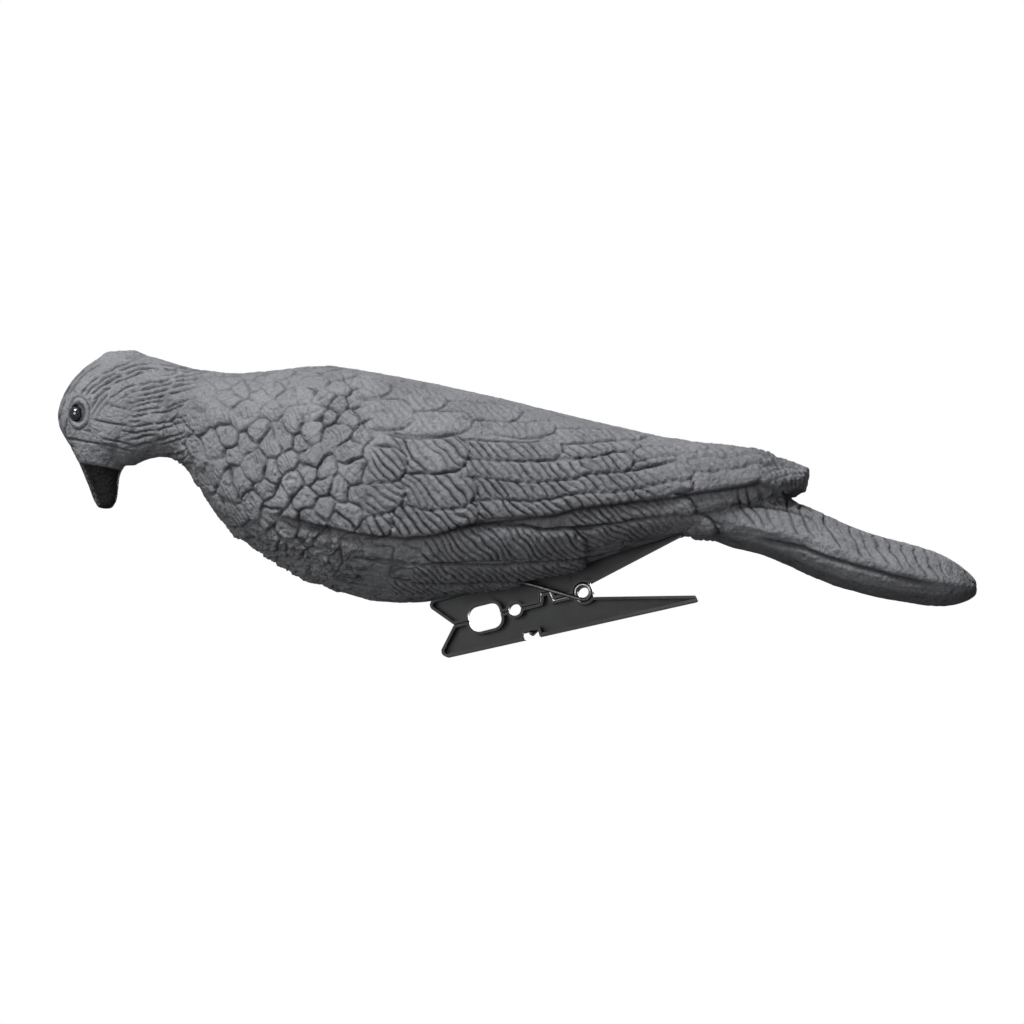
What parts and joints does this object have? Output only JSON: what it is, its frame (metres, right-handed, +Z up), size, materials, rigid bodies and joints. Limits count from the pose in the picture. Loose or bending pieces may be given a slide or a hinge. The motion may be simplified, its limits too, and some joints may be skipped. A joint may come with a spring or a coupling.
{
  "type": "pigeon decoy with spring clip",
  "caption": "Hollow grey moulded-foam pigeon decoy, head bowed as if feeding, with glossy bead eyes and a sprung black peg under its belly that clips onto a twig or stake.",
  "frame": {"origin": "middle of the peg's small round grip hole, on the plane between the two foam halves", "axes": "+X towards the tail along the bird, +Y across the bird to its right side and along the grip hole, +Z up"},
  "size_m": [0.3298, 0.084, 0.1094],
  "materials": {
    "grey_foam": "matt skinned foam with a feather relief",
    "eye": "glossy black bead",
    "black_plastic": "satin moulded plastic",
    "spring_steel": "bright drawn wire",
    "pin_steel": "plain turned pin"
  },
  "bodies": {
    "decoy": {"foam_half_left": "grey_foam", "foam_half_right": "grey_foam", "eye_left": "eye", "eye_right": "eye", "upper_lever": "black_plastic", "torsion_spring": "spring_steel", "anchor_plate": "black_plastic", "front_anchor_pin": "pin_steel", "rear_anchor_pin": "pin_steel"},
    "jaw": {"lower_lever": "black_plastic"}
  },
  "joints": [
    {"name": "peg_opening", "type": "hinge", "parent": "decoy", "child": "jaw", "pos_m": [0.02445, 0, 0.0061], "axis": [0, -1, 0], "range_deg": [0, 26], "stiffness_Nm_per_rad": 0.12, "springref_deg": -68.75, "deforming": ["torsion_spring"]}
  ]
}
